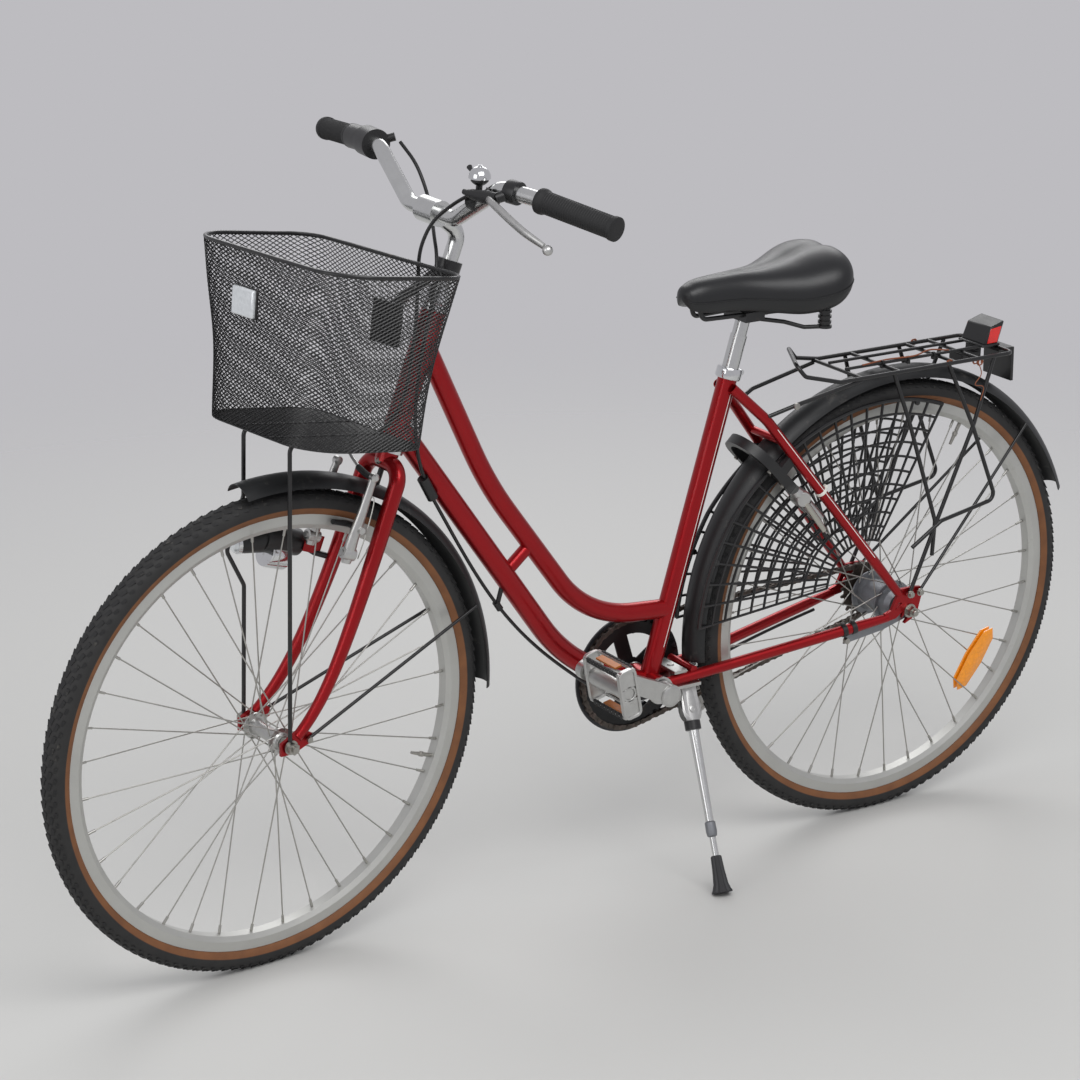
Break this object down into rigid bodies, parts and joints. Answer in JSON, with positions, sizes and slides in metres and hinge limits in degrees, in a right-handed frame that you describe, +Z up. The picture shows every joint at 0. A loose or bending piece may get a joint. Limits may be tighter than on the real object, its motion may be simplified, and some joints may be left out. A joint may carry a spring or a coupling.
{
  "type": "city bicycle",
  "caption": "City bicycle with a low curved frame, mesh front basket, rear rack, full fenders, skirt guards and a side stand, leaning as parked.",
  "frame": {"origin": "middle of the underside of the leaning bicycle's box, on the floor", "axes": "+X forward, +Y to the rider's left, +Z up; the bicycle leans to +Y on its side stand"},
  "size_m": [1.7799, 0.6586, 1.1428],
  "materials": {
    "front_tyre": "tan sidewall",
    "front_rim": "satin",
    "front_spokes": "bright",
    "front_hub": "satin",
    "rear_tyre": "tan sidewall",
    "rear_rim": "satin",
    "rear_spokes": "bright",
    "rear_hub": "satin",
    "front_axle": "bright",
    "rear_axle": "bright",
    "head_tube": "metallic gloss paint",
    "top_tube": "metallic gloss paint",
    "down_tube": "metallic gloss paint",
    "seat_tube": "metallic gloss paint",
    "bottom_bracket": "metallic gloss paint",
    "headset_cups": "black",
    "rear_dropouts": "metallic gloss paint",
    "chain_stays": "metallic gloss paint",
    "seat_stays": "metallic gloss paint",
    "seat_post": "bright",
    "seat_clamp": "satin",
    "saddle": "worn vinyl",
    "saddle_frame": "black",
    "front_fender": "satin",
    "rear_fender": "satin",
    "rear_fender_stays": "black",
    "fork": "metallic gloss paint",
    "headset_nut": "black",
    "front_fender_stays": "black",
    "stem": "polished",
    "handlebar": "polished",
    "grips": "matt",
    "gear_shifter": "satin",
    "brake_lever": "satin",
    "bell": "chrome",
    "basket": "black",
    "basket_reflector": "clear reflector",
    "basket_struts": "black",
    "rear_rack": "black",
    "tail_lamp": "satin",
    "skirt_guards": "satin",
    "ring_lock": "black",
    "rear_sprocket": "oiled",
    "bracket_cups": "bright",
    "chainring": "black",
    "crankset": "satin",
    "left_pedal": "satin",
    "right_pedal": "satin",
    "chain": "oiled",
    "coaster_arm": "bright",
    "stand_bracket": "bright",
    "stand_leg": "satin",
    "stand_foot": "matt",
    "gear_cable_loop": "satin",
    "gear_cable": "satin",
    "front_brake_cable": "satin",
    "cable_guides": "satin",
    "front_brake": "polished",
    "headlamp": "satin",
    "wheel_reflector": "glossy"
  },
  "bodies": {
    "frame": {"rear_axle": "rear_axle", "head_tube": "head_tube", "top_tube": "top_tube", "down_tube": "down_tube", "seat_tube": "seat_tube", "bottom_bracket": "bottom_bracket", "headset_cups": "headset_cups", "rear_dropouts": "rear_dropouts", "chain_stays": "chain_stays", "seat_stays": "seat_stays", "seat_post": "seat_post", "seat_clamp": "seat_clamp", "saddle": "saddle", "saddle_frame": "saddle_frame", "rear_fender": "rear_fender", "rear_fender_stays": "rear_fender_stays", "rear_rack": "rear_rack", "tail_lamp": "tail_lamp", "skirt_guards": "skirt_guards", "ring_lock": "ring_lock", "bracket_cups": "bracket_cups", "chain": "chain", "coaster_arm": "coaster_arm", "stand_bracket": "stand_bracket", "gear_cable_loop": "gear_cable_loop", "gear_cable": "gear_cable", "cable_guides": "cable_guides"},
    "steering": {"front_axle": "front_axle", "front_fender": "front_fender", "fork": "fork", "headset_nut": "headset_nut", "front_fender_stays": "front_fender_stays", "stem": "stem", "handlebar": "handlebar", "grips": "grips", "gear_shifter": "gear_shifter", "brake_lever": "brake_lever", "bell": "bell", "basket": "basket", "basket_reflector": "basket_reflector", "basket_struts": "basket_struts", "front_brake_cable": "front_brake_cable", "front_brake": "front_brake", "headlamp": "headlamp"},
    "front_wheel": {"front_tyre": "front_tyre", "front_rim": "front_rim", "front_spokes": "front_spokes", "front_hub": "front_hub"},
    "rear_wheel": {"rear_tyre": "rear_tyre", "rear_rim": "rear_rim", "rear_spokes": "rear_spokes", "rear_hub": "rear_hub", "wheel_reflector": "wheel_reflector"},
    "sprocket": {"rear_sprocket": "rear_sprocket"},
    "crank": {"crankset": "crankset", "chainring": "chainring"},
    "left_pedal": {"left_pedal": "left_pedal"},
    "right_pedal": {"right_pedal": "right_pedal"},
    "side_stand": {"stand_leg": "stand_leg", "stand_foot": "stand_foot"}
  },
  "joints": [
    {"name": "steering", "type": "hinge", "parent": "frame", "child": "steering", "pos_m": [0.33777, -0.02138, 0.75199], "axis": [-0.3502, 0.049, 0.9354], "range_deg": [-60, 50], "deforming": ["gear_cable_loop"]},
    {"name": "front_wheel_spin", "type": "hinge", "parent": "steering", "child": "front_wheel", "pos_m": [0.54202, -0.03826, 0.34826], "axis": [-0.08, 0.9934, -0.082], "continuous": true},
    {"name": "rear_wheel_spin", "type": "hinge", "parent": "frame", "child": "rear_wheel", "pos_m": [-0.5408, -0.04252, 0.34855], "axis": [0, 0.9986, -0.0523], "continuous": true},
    {"name": "crank_spin", "type": "hinge", "parent": "frame", "child": "crank", "pos_m": [-0.09881, -0.0454, 0.29362], "axis": [0, -0.9986, 0.0523], "continuous": true},
    {"name": "sprocket_spin", "type": "hinge", "parent": "frame", "child": "sprocket", "pos_m": [-0.5408, -0.04252, 0.34855], "axis": [0, -0.9986, 0.0523], "continuous": true},
    {"name": "left_pedal_spin", "type": "hinge", "parent": "crank", "child": "left_pedal", "pos_m": [0.05527, 0.0782, 0.35909], "axis": [0, 0.9986, -0.0523], "continuous": true},
    {"name": "right_pedal_spin", "type": "hinge", "parent": "crank", "child": "right_pedal", "pos_m": [-0.25288, -0.169, 0.22816], "axis": [0, 0.9986, -0.0523], "continuous": true},
    {"name": "side_stand_fold", "type": "hinge", "parent": "frame", "child": "side_stand", "pos_m": [-0.1548, -0.0137, 0.2489], "axis": [0.0765, 0.8885, 0.4524], "range_deg": [0, 100.3]}
  ],
  "couplings": [
    {"joint": "sprocket_spin", "follows": "crank_spin", "ratio": 2.1}
  ]
}
